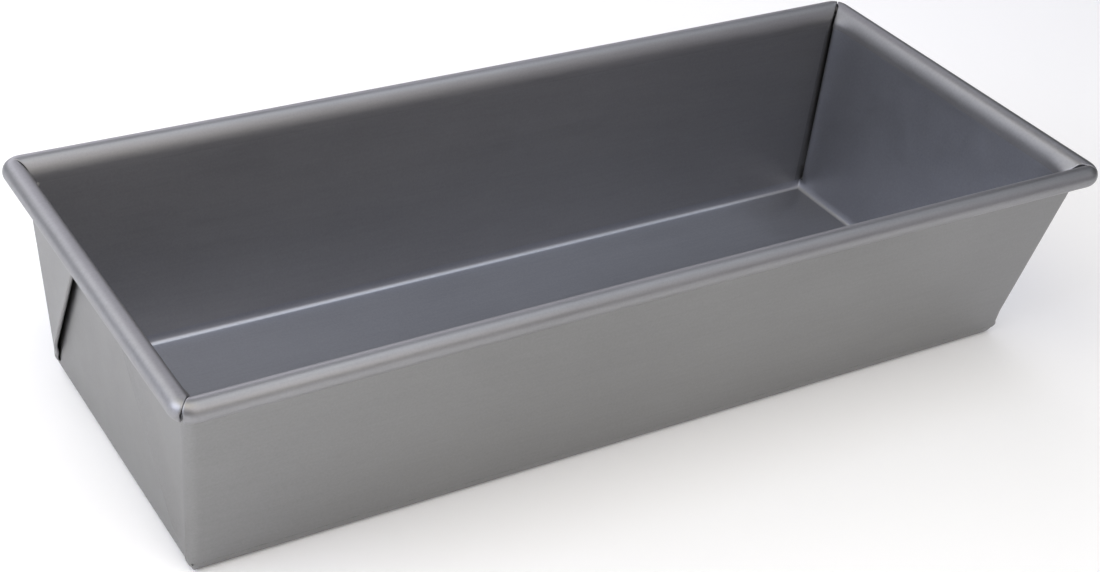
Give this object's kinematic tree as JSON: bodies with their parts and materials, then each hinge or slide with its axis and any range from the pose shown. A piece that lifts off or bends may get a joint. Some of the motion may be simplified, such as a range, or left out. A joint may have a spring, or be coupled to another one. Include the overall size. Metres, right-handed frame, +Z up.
{
  "type": "loaf pan",
  "caption": "Rectangular folded sheet-metal loaf pan with flared walls, pleated corners and a rolled rim round a wire.",
  "frame": {"origin": "centre of the underside, on the surface that the pan stands on", "axes": "+X along the pan's length, +Y across its width towards the back wall, +Z up out of the mouth"},
  "size_m": [0.3116, 0.1278, 0.0688],
  "materials": {
    "sheet_steel": "satin aluminised steel sheet, fine even grain, slightly mottled",
    "wire": "plain drawn steel wire, hidden inside the curl"
  },
  "bodies": {
    "root": {"bottom_panel": "sheet_steel", "front_wall": "sheet_steel", "back_wall": "sheet_steel", "left_end_wall": "sheet_steel", "right_end_wall": "sheet_steel", "corner_fold_front_left": "sheet_steel", "corner_fold_front_right": "sheet_steel", "corner_fold_back_left": "sheet_steel", "corner_fold_back_right": "sheet_steel", "front_rim_curl": "sheet_steel", "back_rim_curl": "sheet_steel", "left_rim_curl": "sheet_steel", "right_rim_curl": "sheet_steel", "rim_wire": "wire"}
  },
  "joints": []
}
